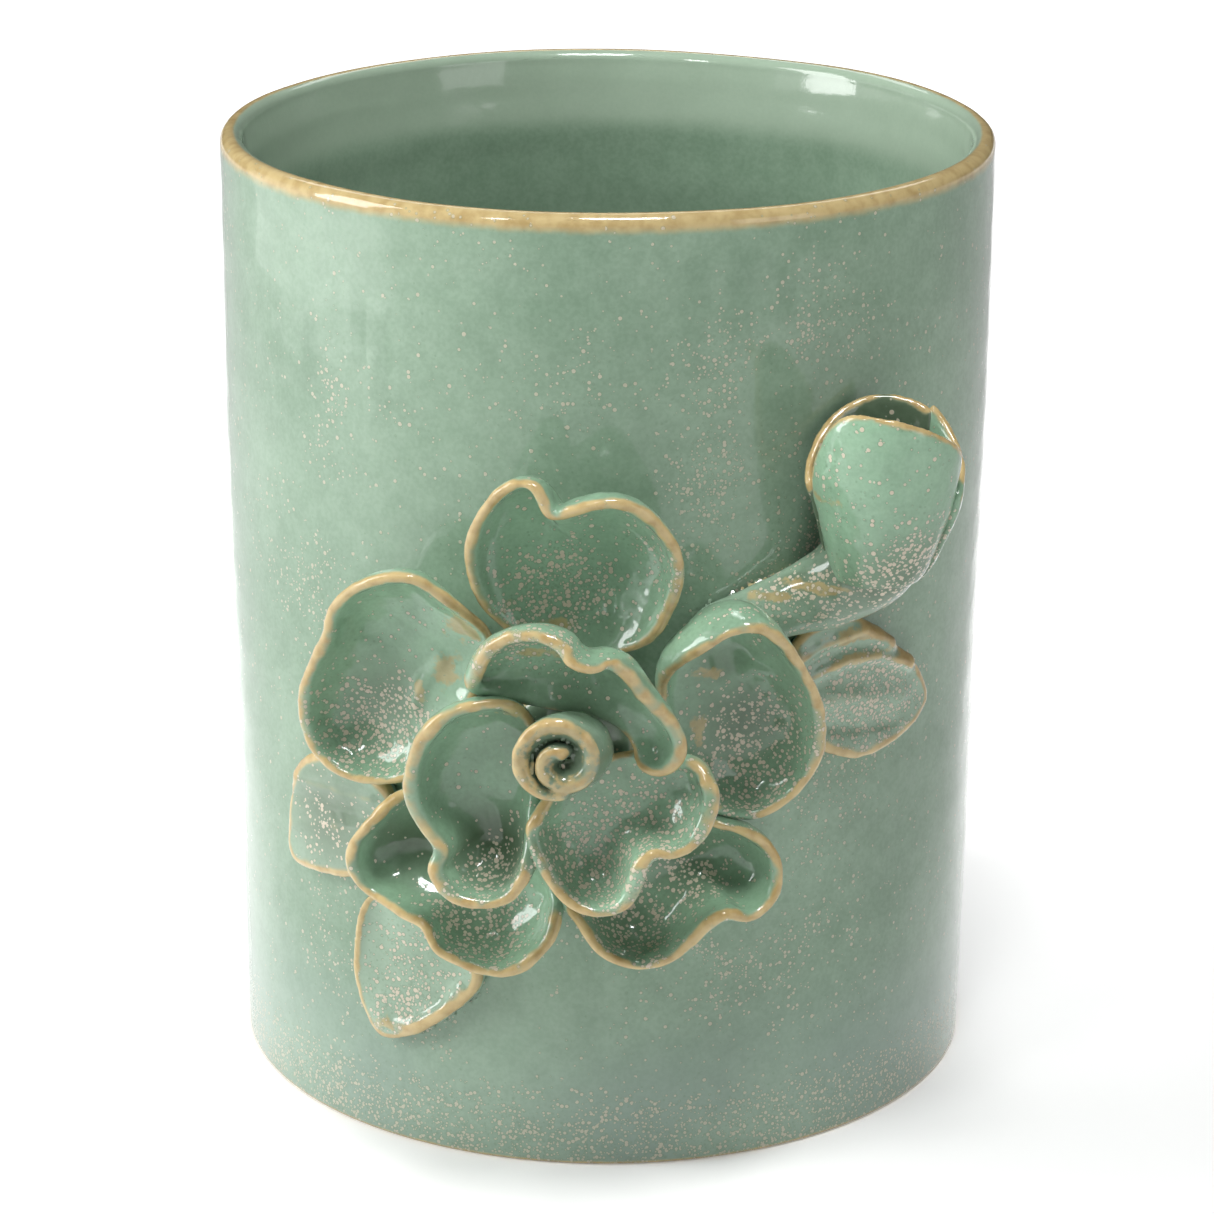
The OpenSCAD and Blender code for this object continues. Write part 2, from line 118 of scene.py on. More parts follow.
def read_normals(mesh):
    flat = np.empty(len(mesh.vertices) * 3)
    mesh.vertex_normals.foreach_get("vector", flat)
    return flat.reshape(-1, 3)


def read_edges(mesh):
    flat = np.empty(len(mesh.edges) * 2, dtype=np.int64)
    mesh.edges.foreach_get("vertices", flat)
    return flat.reshape(-1, 2)


def neighbour_mean(values, edges):
    """Each vertex's value replaced by the mean of its neighbours' values."""
    count = len(values)
    ends = np.concatenate([edges[:, 0], edges[:, 1]])
    others = np.concatenate([edges[:, 1], edges[:, 0]])
    number = np.maximum(np.bincount(ends, minlength=count), 1)
    columns = [
        np.bincount(ends, weights=values[others, k], minlength=count) / number
        for k in range(values.shape[1])
    ]
    return np.stack(columns, axis=1)


def smoothed(points, edges, rounds, share=0.5):
    """The points moved towards their neighbours, again and again."""
    for _ in range(rounds):
        points = points + share * (neighbour_mean(points, edges) - points)
    return points


def smooth_step(values, low, high):
    """0 below low, 1 above high, and a soft rise between them."""
    t = np.clip((values - low) / (high - low), 0, 1)
    return t * t * (3 - 2 * t)


def set_attribute(mesh, name, values):
    layer = mesh.attributes.get(name) or mesh.attributes.new(name, "FLOAT", "POINT")
    layer.data.foreach_set("value", np.asarray(values, dtype=np.float32))


def wall_radius(up):
    return np.interp(up, [0, TAPER_Z], [FOOT_R, POT_R])


def wall_places(points):
    """How far each point is around the wall, up it, and out from it."""
    around = np.arctan2(points[:, 0], -points[:, 1]) * POT_R
    out = np.hypot(points[:, 0], points[:, 1]) - wall_radius(points[:, 2])
    return around, points[:, 2], out


def noise_at(points, size, seed=0.0):
    """Smooth noise of about -1 to 1 with features of the given size."""
    shift = Vector((seed, seed * 1.7, seed * 2.3))
    return np.array([noise.noise(Vector(p) / size + shift) for p in points])


def uneven(points, layers):
    """Several layers of noise added up. Each is (depth, size, seed)."""
    return sum(depth * noise_at(points, size, seed) for depth, size, seed in layers)


# ---------------------------------------------------------------------------
# Objects
# ---------------------------------------------------------------------------


def new_object(name, mesh):
    obj = bpy.data.objects.new(name, mesh)
    bpy.context.scene.collection.objects.link(obj)
    return obj


def shade_smooth(mesh):
    mesh.polygons.foreach_set("use_smooth", [True] * len(mesh.polygons))


def apply_modifiers(obj, steps):
    """Adds each (kind, settings) modifier in turn and makes the result the mesh."""
    for kind, settings in steps:
        modifier = obj.modifiers.new(kind.lower(), kind)
        for key, value in settings.items():
            setattr(modifier, key, value)
    graph = bpy.context.evaluated_depsgraph_get()
    mesh = bpy.data.meshes.new_from_object(obj.evaluated_get(graph))
    obj.modifiers.clear()
    old = obj.data
    obj.data = mesh
    bpy.data.meshes.remove(old)


def even_clay(node):
    """The CAD solid as an evenly meshed, softened piece of clay."""
    mesh = frame["nodes"][node].data.copy()
    work = bmesh.new()
    work.from_mesh(mesh)
    bmesh.ops.remove_doubles(work, verts=work.verts, dist=WELD_GAP * MM)
    bmesh.ops.join_triangles(
        work,
        faces=work.faces,
        angle_face_threshold=JOIN_ANGLE,
        angle_shape_threshold=JOIN_ANGLE,
    )
    work.to_mesh(mesh)
    work.free()
    mesh.materials.clear()
    obj = new_object("clay_" + node, mesh)
    apply_modifiers(
        obj,
        [
            ("SUBSURF", {"levels": 2, "render_levels": 2}),
            ("REMESH", {"mode": "VOXEL", "voxel_size": VOXEL * MM}),
        ],
    )
    edges = read_edges(obj.data)
    write_points(obj.data, smoothed(read_points(obj.data), edges, SOFTEN_ROUNDS))
    shade_smooth(obj.data)
    return obj


# ---------------------------------------------------------------------------
# Hand work: shallow dents, creases and veins, as moves along the normal
# ---------------------------------------------------------------------------

# Thin pieces lose some thickness when they are softened; this gives it back.
SWELL = {"flower_centre_coil": 0.2}
# Fingertip dents and smaller unevenness, each as (depth, size, seed).
DENTS = [(0.2, 4.5, 3.1), (0.07, 1.4, 8.4)]

# Each mark is (node, points as (around, up), half width, height).
MARKS = [
    ("leaf_right", [(20, 57), (23.7, 58.9), (28.9, 59.5), (33, 57)], 0.8, 0.6),
    ("leaf_right", [(20, 54.6), (24, 56.0), (27, 56.5), (31.2, 56.2), (36, 54)], 0.75, 0.6),
    ("leaf_right", [(21, 52.8), (28, 52.2), (35, 50.6)], 1.3, 0.45),
    ("leaf_right", [(22, 50.4), (28, 48.6), (34, 47.8)], 0.9, -0.25),
    ("leaf_left", [(-36, 40), (-31, 40.3), (-25, 40.5)], 0.8, 0.25),
    ("leaf_left", [(-36.5, 34.5), (-31, 35.6), (-25, 36.5)], 1.0, 0.22),
    ("leaf_left", [(-36.8, 37.3), (-31, 38), (-25, 38.6)], 0.8, -0.2),
    ("leaf_lower_left", [(-24, 14.6), (-20, 15.2), (-16.5, 17.8), (-14.5, 20.5)], 0.7, 0.35),
    ("outer_petal_upper_left", [(-18.6, 52.8), (-17.8, 55.4), (-15.5, 58.5)], 0.8, 0.35),
    ("outer_petal_right", [(10, 59.8), (11, 57.6), (13, 55.6)], 0.9, 0.3),
    ("outer_petal_top", [(-4, 77), (-3.8, 74.6), (-4.6, 72)], 0.9, 0.35),
]


def distance_to_line(around, up, line):
    """How far each place is from a line of (around, up) points."""
    best = np.full(len(around), np.inf)
    places = np.stack([around, up], axis=1)
    for start, end in zip(line, line[1:]):
        start = np.array(start)
        run = np.array(end) - start
        share = np.clip((places - start) @ run / (run @ run), 0, 1)
        gap = places - start - share[:, None] * run
        best = np.minimum(best, np.hypot(gap[:, 0], gap[:, 1]))
    return best


def facing_out(points, normals):
    """1 where the surface looks away from the pot's axis, 0 where it looks back."""
    radial = points[:, :2] / np.hypot(points[:, 0], points[:, 1])[:, None]
    return smooth_step((radial * normals[:, :2]).sum(axis=1), 0, 0.4)


def work_by_hand(obj, node):
    """Uneven thickness, fingertip dents, and the marks pressed into this piece."""
    mesh = obj.data
    points, normals = read_points(mesh), read_normals(mesh)
    move = uneven(points, DENTS) + SWELL.get(node, 0)
    around, up, _ = wall_places(points)
    front = facing_out(points, normals)
    for name, line, half_width, height in MARKS:
        if name == node:
            gap = distance_to_line(around, up, line)
            move += height * front * np.exp(-((gap / half_width) ** 2))
    write_points(mesh, points + move[:, None] * normals)


# ---------------------------------------------------------------------------
# The pot: a lathe profile with throwing marks
# ---------------------------------------------------------------------------

POT_SEGMENTS = 300
# The small flat cap in the middle of the base and of the well's floor.
CAP_R = 0.5
# Throwing marks: the wall's wobble and the rim's, each as (depth, size, seed), then the
# climb of the spiral for each turn and its depth outside and inside.
WOBBLE = [(0.16, 26, 5.0), (0.03, 6, 2.0)]
RIM_SWAY = [(0.16, 20, 9.0)]
RIM_LOBES = 0.05
SPIRAL_CLIMB = 7.5
SPIRAL_OUTSIDE = 0.02
SPIRAL_INSIDE = 0.05


def arc_points(centre, radius, start, end, steps):
    angles = np.radians(np.linspace(start, end, steps + 1))
    return [(centre[0] + radius * math.cos(a), centre[1] + radius * math.sin(a)) for a in angles]


def line_points(start, end, steps):
    """Points from start up to, but not including, end."""
    shares = np.arange(steps) / steps
    return [
        (start[0] + (end[0] - start[0]) * s, start[1] + (end[1] - start[1]) * s) for s in shares
    ]


def pot_profile():
    """(radius, height) from the middle of the base, over the rim, to the floor's middle."""
    rim = LIP_T / 2
    ring_in = FOOT_R - FOOT_RING
    recess_r = ring_in - RECESS_SLOPE
    fillet_r = BORE_R - FLOOR_FILLET
    fillet_z = FLOOR_Z + FLOOR_FILLET
    lip_starts = POT_H - rim - LIP_H
    flare = POT_R - LIP_T - BORE_R
    shares = 1 - np.arange(1, 20) / 20
    inner_lip = [(BORE_R + flare * t**FLARE_POWER, lip_starts + LIP_H * t) for t in shares]
    return (
        line_points((CAP_R, RECESS_H), (recess_r, RECESS_H), 12)
        + line_points((recess_r, RECESS_H), (ring_in, 0), 4)
        + line_points((ring_in, 0), (FOOT_R - BASE_ROUND, 0), 6)
        + arc_points((FOOT_R - BASE_ROUND, BASE_ROUND), BASE_ROUND, -90, 0, 6)
        + line_points((FOOT_R, BASE_ROUND), (POT_R, TAPER_Z), 66)[1:]
        + line_points((POT_R, TAPER_Z), (POT_R, POT_H - rim), 28)
        + arc_points((POT_R - rim, POT_H - rim), rim, 0, 180, 22)
        + inner_lip
        + line_points((BORE_R, lip_starts), (BORE_R, fillet_z), 54)
        + arc_points((fillet_r, fillet_z), FLOOR_FILLET, 0, -90, 12)
        + line_points((fillet_r, FLOOR_Z), (CAP_R, FLOOR_Z), 24)[1:]
        + [(CAP_R, FLOOR_Z)]
    )


def turned_faces(rings, segments):
    """Quads between neighbouring rings, and a cap over each end ring."""
    ring = np.arange(rings - 1)[:, None] * segments
    step = np.arange(segments)[None, :]
    follow = (step + 1) % segments
    corners = [ring + step, ring + follow, ring + segments + follow, ring + segments + step]
    faces = np.stack(np.broadcast_arrays(*corners), axis=-1).reshape(-1, 4).tolist()
    faces.append(list(range(segments))[::-1])
    faces.append(list(range((rings - 1) * segments, rings * segments)))
    return faces


def build_pot():
    profile = np.array(pot_profile())
    angles = np.arange(POT_SEGMENTS) * 2 * math.pi / POT_SEGMENTS
    radius, height = profile[:, 0][:, None], profile[:, 1][:, None]
    points = np.stack(
        np.broadcast_arrays(radius * np.sin(angles), -radius * np.cos(angles), height), axis=-1
    ).reshape(-1, 3)
    mesh = bpy.data.meshes.new("glazed_pot")
    mesh.from_pydata((points * MM).tolist(), [], turned_faces(len(profile), POT_SEGMENTS))
    mesh.validate()
    throw_pot(mesh, points)
    shade_smooth(mesh)
    return new_object("glazed_pot", mesh)


def throw_pot(mesh, points):
    """Slight wobble of the wall and rim, and spiral finger marks inside and out."""
    up = points[:, 2]
    turned = np.arctan2(points[:, 1], points[:, 0])
    reach = np.hypot(points[:, 0], points[:, 1])
    inner = smooth_step(BORE_R + 0.9 - reach, 0, 0.5) * (up > FLOOR_Z + 1)
    spiral = np.sin(2 * math.pi * (up / SPIRAL_CLIMB + turned / (2 * math.pi)))
    on_wall = smooth_step(up, 1.5, 12)
    rim = smooth_step(up, POT_H - 5, POT_H)
    fingers = SPIRAL_OUTSIDE * (1 - inner) - SPIRAL_INSIDE * inner * (1 - rim)
    move = on_wall * (uneven(points, WOBBLE) + spiral * fingers)
    radial = points[:, :2] / np.maximum(reach, 1)[:, None]
    shifted = points.copy()
    shifted[:, :2] += move[:, None] * radial * (reach > 20)[:, None]
    shifted[:, 2] += rim * (uneven(points, RIM_SWAY) + RIM_LOBES * np.sin(3 * turned + 1))
    write_points(mesh, shifted)


# ---------------------------------------------------------------------------
# Relief: where the glaze runs thin and where it pools
# ---------------------------------------------------------------------------

UNION_VOXEL = 0.34
# The stretch of wall behind the flower: around, up, rows and columns, and depth.
SLAB_AROUND = (-43, 44)
SLAB_UP = (6, 95)
SLAB_STEPS = 120
SLAB_DEPTH = 2.5
# Rounds of smoothing: to start from, then to the fine relief, then to the wide one.
START_ROUNDS = 2
FINE_ROUNDS = 8
WIDE_ROUNDS = 22


def wall_slab():
    """A slab of the pot's wall behind the flower, so that joints to the wall count too."""
    arounds = np.linspace(*SLAB_AROUND, SLAB_STEPS)
    ups = np.linspace(*SLAB_UP, SLAB_STEPS)
    grid_around, grid_up = np.meshgrid(arounds, ups)
    layers = []
    for depth in (0, SLAB_DEPTH):
        reach = wall_radius(grid_up) - depth
        angle = grid_around / POT_R
        layer = np.stack([reach * np.sin(angle), -reach * np.cos(angle), grid_up], axis=-1)
        layers.append(layer.reshape(-1, 3))
    count = len(layers[0])
    rows, columns = grid_around.shape
    faces = []
    for r in range(rows - 1):
        for c in range(columns - 1):
            a = r * columns + c
            quad = [a, a + 1, a + columns + 1, a + columns]
            faces.append(quad)
            faces.append([count + i for i in quad[::-1]])
    border = list(range(columns))
    border += [r * columns + columns - 1 for r in range(1, rows)]
    border += [(rows - 1) * columns + c for c in range(columns - 2, -1, -1)]
    border += [r * columns for r in range(rows - 2, 0, -1)]
    for a, b in zip(border, border[1:] + border[:1]):
        faces.append([b, a, count + a, count + b])
    mesh = bpy.data.meshes.new("wall_slab")
    mesh.from_pydata((np.concatenate(layers) * MM).tolist(), [], faces)
    return new_object("wall_slab", mesh)


def join_copies(objects, name):
    """One mesh with a copy of every object's mesh in it."""
    work = bmesh.new()
    for obj in objects:
        work.from_mesh(obj.data)
    mesh = bpy.data.meshes.new(name)
    work.to_mesh(mesh)
    work.free()
    return new_object(name, mesh)


def build_union(pieces):
    slab = wall_slab()
    union = join_copies([*pieces.values(), slab], "joined_clay")
    bpy.data.objects.remove(slab)
    apply_modifiers(union, [("REMESH", {"mode": "VOXEL", "voxel_size": UNION_VOXEL * MM})])
    return union


def relief_of(union):
    """How far each point of the joined clay sinks when it is smoothed: + on edges."""
    points, edges = read_points(union.data), read_edges(union.data)
    normals = read_normals(union.data)
    start = smoothed(points, edges, START_ROUNDS)
    fine = smoothed(start, edges, FINE_ROUNDS)
    wide = smoothed(fine, edges, WIDE_ROUNDS)
    sunk_fine = ((start - fine) * normals).sum(axis=1)
    sunk_wide = ((start - wide) * normals).sum(axis=1)
    return points, normals, start, fine, sunk_fine, sunk_wide


# How far an edge stands out where its glaze starts to thin, and where it is thinnest.
EDGE = (0.045, 0.15)
# The same for leaves, which lie flat on the wall, and how often their relief is blurred.
LOW_EDGE = (0.012, 0.1)
LOW_EDGE_BLUR = 8
# How deep a joint or a hollow is where its glaze starts to deepen, and where it is deepest.
JOINT = (0.05, 0.2)
HOLLOW = (0.08, 0.45)


def mark_relief(obj, tree, fine, wide, edge=EDGE, blur=3, reach=2.0):
    """Stores the joined clay's relief on a piece, as ridge, joint and hollow."""
    points = read_points(obj.data)
    nearest = np.zeros(len(points), dtype=np.int64)
    near = np.zeros(len(points), dtype=bool)
    for i, p in enumerate(points):
        _, index, gap = tree.find(p)
        nearest[i] = index
        near[i] = gap < reach
    edges = read_edges(obj.data)
    fields = np.stack([fine[nearest] * near, wide[nearest] * near], axis=1)
    fields = smoothed(fields, edges, blur)
    set_attribute(obj.data, "ridge", smooth_step(fields[:, 0], *edge))
    set_attribute(obj.data, "joint", smooth_step(-fields[:, 0], *JOINT))
    set_attribute(obj.data, "hollow", smooth_step(-fields[:, 1], *HOLLOW))


def fade_ridge(obj, low, high):
    """Takes the amber off the edges below a height, where they are smoothed into the stem."""
    up = read_points(obj.data)[:, 2]
    ridge = np.empty(len(up), dtype=np.float32)
    obj.data.attributes["ridge"].data.foreach_get("value", ridge)
    set_attribute(obj.data, "ridge", ridge * smooth_step(up, low, high))


# The pooled glaze: its extra smoothing, how far it is sunk, and how proud it must stand.
POOLED_ROUNDS = 4
POOLED_SINK = 0.18
POOLED_RISE = 0.12


def build_pooled_glaze(union, start, fine_points, normals):
    """The glaze that fills the joints: the smoothed clay, kept only where it stands proud."""
    mesh = union.data.copy()
    edges = read_edges(mesh)
    soft = smoothed(fine_points, edges, POOLED_ROUNDS)
    rise = ((soft - start) * normals).sum(axis=1)
    write_points(mesh, soft - POOLED_SINK * normals)
    work = bmesh.new()
    work.from_mesh(mesh)
    low = [v for v, h in zip(work.verts, rise) if h < POOLED_RISE]
    bmesh.ops.delete(work, geom=low, context="VERTS")
    loose = [v for v in work.verts if not v.link_faces]
    bmesh.ops.delete(work, geom=loose, context="VERTS")
    work.to_mesh(mesh)
    work.free()
    shade_smooth(mesh)
    return new_object("pooled_glaze", mesh)


# ---------------------------------------------------------------------------
# Crystals, amber patches, pooled glaze and painted shade, by place
# ---------------------------------------------------------------------------

# Each cluster is (around, up, radius, density).
CRYSTALS = [
    (-3.5, 67, 4.5, 0.6),
    (-7.5, 65, 2.5, 0.5),
    (-22.5, 49, 4.5, 1.0),
    (-19, 52, 3, 0.7),
    (14.5, 47, 4.5, 1.0),
    (15.5, 52, 4, 0.6),
    (-11.5, 29.5, 4, 1.0),
    (3, 31, 4, 1.0),
    (9, 36, 3, 0.7),
    (-0.5, 41, 4, 1.0),
    (3.5, 44, 4.5, 0.8),
    (-8.5, 39, 2.6, 0.5),
    (31, 50.5, 6, 0.7),
    (26, 54, 4, 0.4),
    (-31, 36, 4, 0.35),
    (-21, 17, 4, 0.65),
    (-20, 23, 5, 0.3),
    (26, 70, 4, 1.0),
    (28, 74, 2.5, 0.3),
    (20, 66, 3.5, 0.6),
    (13, 77, 6, 0.4),
    (8, 72, 5, 0.3),
    (12, 90, 6, 0.25),
    (25, 93, 5, 0.3),
    (38, 77, 4.5, 0.35),
    (24, 42, 7, 0.3),
    (14, 24, 6, 0.3),
    (26, 22, 8, 0.25),
    (-2, 88, 6, 0.12),
    (-30, 82, 6, 0.2),
    (-36, 62, 7, 0.2),
    (-34, 22, 6, 0.15),
]
# Pooled glaze, and painted shade where shade falls, each as (around, up, radius, depth).
POOLS_AND_PAINTED_SHADE = [
    (-8.5, 41.5, 4.4, 1.0),
    (-18.5, 38, 4.6, 1.0),
    (-12, 31, 3.5, 0.5),
    (9, 36.5, 4, 0.7),
    (3, 31.5, 3.5, 0.5),
    (14, 52, 5.6, 0.85),
    (-21.5, 53, 5.2, 0.75),
    (11.5, 59, 3.6, 0.7),
    (26, 69, 5.5, 0.9),
    (16.6, 73, 1.6, 0.7),
    (15.8, 77, 1.4, 0.6),
    (19, 67.5, 2.5, 0.6),
    (-2.5, 54, 6.5, 0.7),
    (2, 62, 4, 0.4),
    (-31, 37, 7, 0.8),
    (-20, 20, 6, 0.15),
]
# Each patch is (around, up, half width, half height, strength).
AMBER = [
    (-12.8, 63, 2.6, 1.6, 0.8),
    (-14.8, 57, 1.6, 2.6, 0.7),
    (-17.8, 55.4, 0.7, 2, 0.6),
    (-6.8, 57, 1.2, 1, 0.8),
    (-3.4, 63.5, 3, 0.7, 0.7),
    (10, 52, 1.2, 2.4, 0.7),
    (11, 58, 1.6, 0.9, 0.8),
    (17, 66, 2, 0.7, 0.9),
    (20, 67.3, 2, 0.7, 0.9),
    (29, 59.2, 4.5, 1.0, 0.9),
    (28, 56.4, 5, 0.8, 0.8),
    (19.2, 77.6, 1.4, 0.6, 0.8),
    (30.8, 76, 0.7, 4.5, 0.8),
    (30.5, 70.5, 0.8, 1.8, 0.8),
    (28.5, 68.2, 1.6, 0.6, 0.7),
    (-9, 64, 1.5, 3, 0.4),
    (-24, 14.5, 3, 1.0, 0.6),
]


def strongest_blob(around, up, blobs):
    """The strongest of several soft blobs: (around, up, one or two half sizes, strength)."""
    best = np.zeros(len(around))
    for blob_around, blob_up, *half_sizes, strength in blobs:
        wide, high = half_sizes[0], half_sizes[-1]
        far = ((around - blob_around) / wide) ** 2 + ((up - blob_up) / high) ** 2
        best = np.maximum(best, strength * np.exp(-far))
    return best


# The height up to which the bud's petals are joined to the stem.
BUD_JOINT = 71
# Painted shade laid all over a piece that only shows in the shade, in the pooled glaze colour.
PAINTED_SHADE_PIECES = {"bud_petal_back": 0.9}
# Crystals: the few that are everywhere, how much denser the clusters are than their
# listed density, and the share that is left on surfaces that look back at the wall.
FEW_CRYSTALS = 0.05
CLUSTER_GAIN = 1.8
CRYSTALS_BEHIND = 0.35
# How far out the coil's top edge starts and ends, and how amber it is.
COIL_TOP = (18.5, 19.1)
COIL_AMBER = 0.48
# The share of amber that is left on surfaces that look back at the wall.
AMBER_BEHIND = 0.6
# How much glaze stays on surfaces that lie level, clear of the wall.
LEVEL_POOL = 0.1


def mark_places(obj, deep=0.0):
    """Stores crystals, amber, pooled glaze and painted shade; deep paints shade all over."""
    mesh = obj.data
    points, normals = read_points(mesh), read_normals(mesh)
    around, up, out = wall_places(points)
    front = facing_out(points, normals)
    crystals = FEW_CRYSTALS + CLUSTER_GAIN * strongest_blob(around, up, CRYSTALS)
    crystals *= CRYSTALS_BEHIND + (1 - CRYSTALS_BEHIND) * front
    set_attribute(mesh, "crystal", crystals * (out > -1))
    coil_top = COIL_AMBER * smooth_step(out, *COIL_TOP)
    amber = strongest_blob(around, up, AMBER) * np.maximum(front, AMBER_BEHIND)
    set_attribute(mesh, "patch", np.maximum(amber, coil_top))
    # Pooled glaze blobs, some of them painted shade.
    pools = strongest_blob(around, up, POOLS_AND_PAINTED_SHADE) * front
    level = smooth_step(normals[:, 2], 0.05, 0.7) * smooth_step(out, 1, 3)
    set_attribute(mesh, "pool_and_shade", np.clip(pools + LEVEL_POOL * level + deep, 0, 1))


# ---------------------------------------------------------------------------
# Materials
# ---------------------------------------------------------------------------


def srgb(red, green, blue):
    """A linear colour from 0-255 screen values."""
    return tuple(
        (c / 255 / 12.92) if c <= 10 else ((c / 255 + 0.055) / 1.055) ** 2.4
        for c in (red, green, blue)
    ) + (1.0,)


CELADON_PALE = srgb(156, 180, 158)
PETAL_PALE = srgb(154, 190, 160)
CELADON_DEEP = srgb(106, 134, 110)
# Deep pooled glaze, also the colour of painted shade.
CELADON_POOL_AND_SHADE = srgb(63, 77, 51)
BLUE_HAZE = srgb(140, 156, 150)
AMBER_LIGHT = srgb(200, 174, 122)
AMBER_DARK = srgb(176, 146, 92)
FRINGE = srgb(156, 162, 132)
# A painted reflection: the pale sheen of the bright room in the flared lip.
LIP_PAINTED_SHEEN = srgb(170, 188, 168)
CRYSTAL = srgb(208, 194, 174)
BARE_CLAY = srgb(190, 160, 124)
BARE_CLAY_DARK = srgb(150, 118, 86)


def add(tree, kind, inputs=None, **settings):
    """A new node, with its settings, and each input linked or set."""
    node = tree.nodes.new(kind)
    for key, value in settings.items():
        setattr(node, key, value)
    for key, value in (inputs or {}).items():
        if isinstance(value, bpy.types.NodeSocket):
            tree.links.new(value, node.inputs[key])
        else:
            node.inputs[key].default_value = value
    return node


def calc(tree, operation, first, second=0.0, clamp=False):
    node = add(tree, "ShaderNodeMath", {0: first, 1: second}, operation=operation)
    node.use_clamp = clamp
    return node.outputs[0]


def scaled(tree, value, factor, offset):
    """value times factor, plus offset."""
    inputs = {0: value, 1: factor, 2: offset}
    return add(tree, "ShaderNodeMath", inputs, operation="MULTIPLY_ADD").outputs[0]


def ramp(tree, value, low, high, to_low=0.0, to_high=1.0):
    """value from low..high, softly, to to_low..to_high."""
    node = add(
        tree,
        "ShaderNodeMapRange",
        {"Value": value, "From Min": low, "From Max": high, "To Min": to_low, "To Max": to_high},
        interpolation_type="SMOOTHSTEP",
    )
    return node.outputs["Result"]


def blend_colour(tree, factor, first, second):
    node = add(tree, "ShaderNodeMix", data_type="RGBA")
    for socket, value in (("Factor_Float", factor), ("A_Color", first), ("B_Color", second)):
        target = next(s for s in node.inputs if s.identifier == socket)
        if isinstance(value, bpy.types.NodeSocket):
            tree.links.new(value, target)
        else:
            target.default_value = value
    return next(s for s in node.outputs if s.identifier == "Result_Color")


def grain(tree, place, size_mm, detail=2.0, roughness=0.5):
    """Noise of 0 to 1 with features of the given size."""
    node = add(
        tree,
        "ShaderNodeTexNoise",
        {"Vector": place, "Scale": 1 / (size_mm * MM), "Detail": detail, "Roughness": roughness},
    )
    return node.outputs["Fac"]


def attribute(tree, name):
    return add(tree, "ShaderNodeAttribute", attribute_name=name).outputs["Fac"]


def specks(tree, place, cell_mm, density, largest):
    """Round specks, one at most in a cell, as many as density says, and their dark rings."""
    cells = add(
        tree,
        "ShaderNodeTexVoronoi",
        {"Vector": place, "Scale": 1 / (cell_mm * MM)},
        feature="F1",
    )
    chance = add(tree, "ShaderNodeSeparateColor", {"Color": cells.outputs["Color"]})
    present = calc(tree, "LESS_THAN", chance.outputs["Red"], density)
    radius = scaled(tree, chance.outputs["Green"], largest * 0.4, largest * 0.6)
    inside = calc(tree, "SUBTRACT", radius, cells.outputs["Distance"])
    speck = calc(tree, "MULTIPLY", present, ramp(tree, inside, 0.0, 0.07))
    ring = calc(tree, "MULTIPLY", present, ramp(tree, inside, -0.22, 0.0))
    return speck, ring


def crystal_glaze(tree, place, colour, density, strength, size=1.0):
    """Crystals of two sizes over a colour; gives the new colour and where they are."""
    large, large_ring = specks(tree, place, 0.53 * size, density, 0.48)
    small, small_ring = specks(tree, place, 0.38 * size, density, 0.43)
    ring = calc(tree, "MAXIMUM", large_ring, small_ring)
    colour = blend_colour(tree, calc(tree, "MULTIPLY", ring, 0.4), colour, CELADON_DEEP)
    crystal = calc(tree, "MAXIMUM", large, calc(tree, "MULTIPLY", small, 0.85))
    return blend_colour(tree, calc(tree, "MULTIPLY", crystal, strength), colour, CRYSTAL), crystal


def new_material(name):
    material = bpy.data.materials.new(name)
    material.use_nodes = True
    tree = material.node_tree
    shader = tree.nodes["Principled BSDF"]
    place = add(tree, "ShaderNodeTexCoord").outputs["Object"]
    return material, tree, shader, place


def rust_colour(tree, place):
    """The amber of thin glaze, lighter and darker in small patches."""
    patches = ramp(tree, grain(tree, place, 1.6, 3.0), 0.35, 0.75)
    return blend_colour(tree, patches, AMBER_LIGHT, AMBER_DARK)


